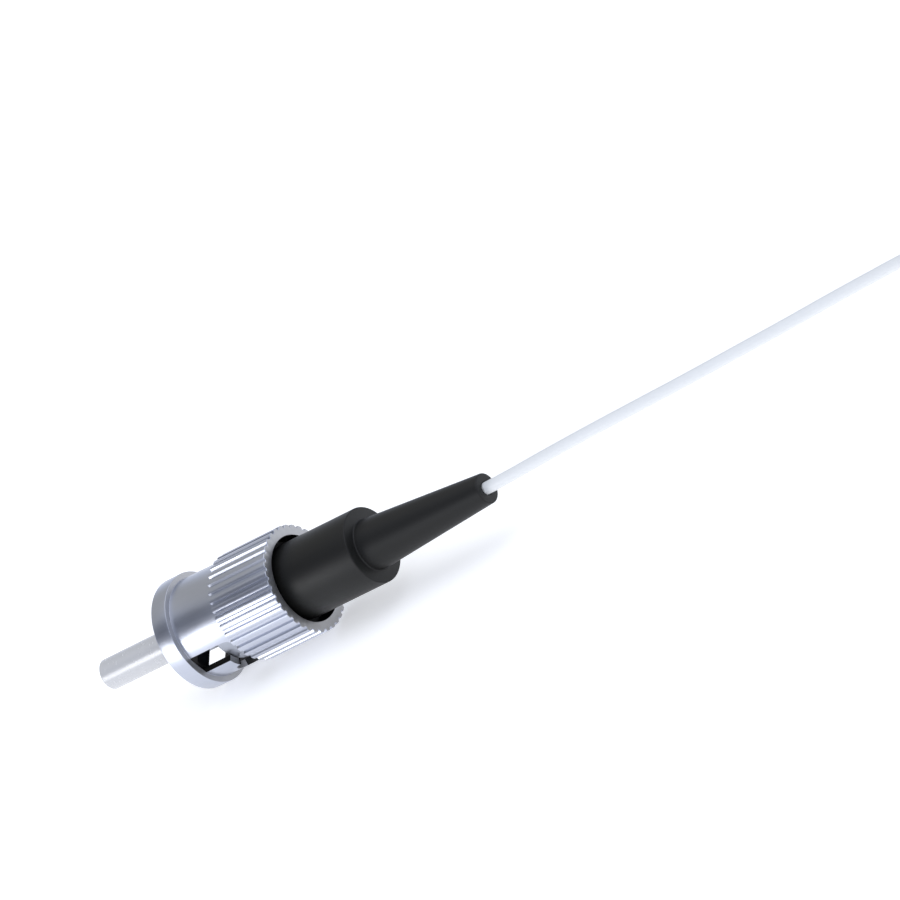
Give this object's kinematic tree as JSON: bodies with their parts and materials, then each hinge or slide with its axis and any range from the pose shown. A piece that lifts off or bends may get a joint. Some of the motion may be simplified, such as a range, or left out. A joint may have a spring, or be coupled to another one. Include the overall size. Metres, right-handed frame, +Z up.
{
  "type": "fibre optic connector",
  "caption": "Straight-tip single-fibre connector: round ferrule, sprung bayonet coupling nut with a fluted grip, black rubber boot, and a white buffered fibre wound in a tied coil.",
  "frame": {"origin": "on the surface that the connector lies on, under the middle of its length, cable left out", "axes": "+X along the connector's axis towards the cable, +Z up"},
  "size_m": [0.1055, 0.0192, 0.0091],
  "materials": {
    "ceramic": "polished white ceramic",
    "glass": "bare glass fibre",
    "adhesive": "cured adhesive",
    "plated_nut": "satin nickel plate",
    "plated_body": "satin nickel plate",
    "key_steel": "blackened steel",
    "spring_steel": "spring steel",
    "boot_rubber": "moulded black rubber",
    "guide_plastic": "natural plastic",
    "buffer_plastic": "smooth white jacket",
    "tie_plastic": "soft plastic tie"
  },
  "bodies": {
    "connector_body": {"ferrule": "ceramic", "glass_fibre": "glass", "adhesive": "adhesive", "ferrule_holder": "plated_body", "alignment_key": "key_steel", "barrel": "plated_body", "guide_tube": "guide_plastic", "spring": "spring_steel", "retaining_clip": "spring_steel", "boot": "boot_rubber", "fibre_buffer": "buffer_plastic", "fibre_cable": "buffer_plastic", "cable_coil": "buffer_plastic", "coil_ties": "tie_plastic"},
    "washer": {"thrust_washer": "spring_steel"},
    "nut": {"coupling_nut": "plated_nut"}
  },
  "joints": [
    {"name": "nut_slide", "type": "slide", "parent": "connector_body", "child": "washer", "axis": [-1, 0, 0], "range_m": [0, 0.0016], "stiffness_N_per_m": 20, "springref_m": -0.0015, "deforming": ["spring"]},
    {"name": "nut_turn", "type": "hinge", "parent": "washer", "child": "nut", "pos_m": [0, 0, 0.00457], "axis": [1, 0, 0], "continuous": true}
  ]
}
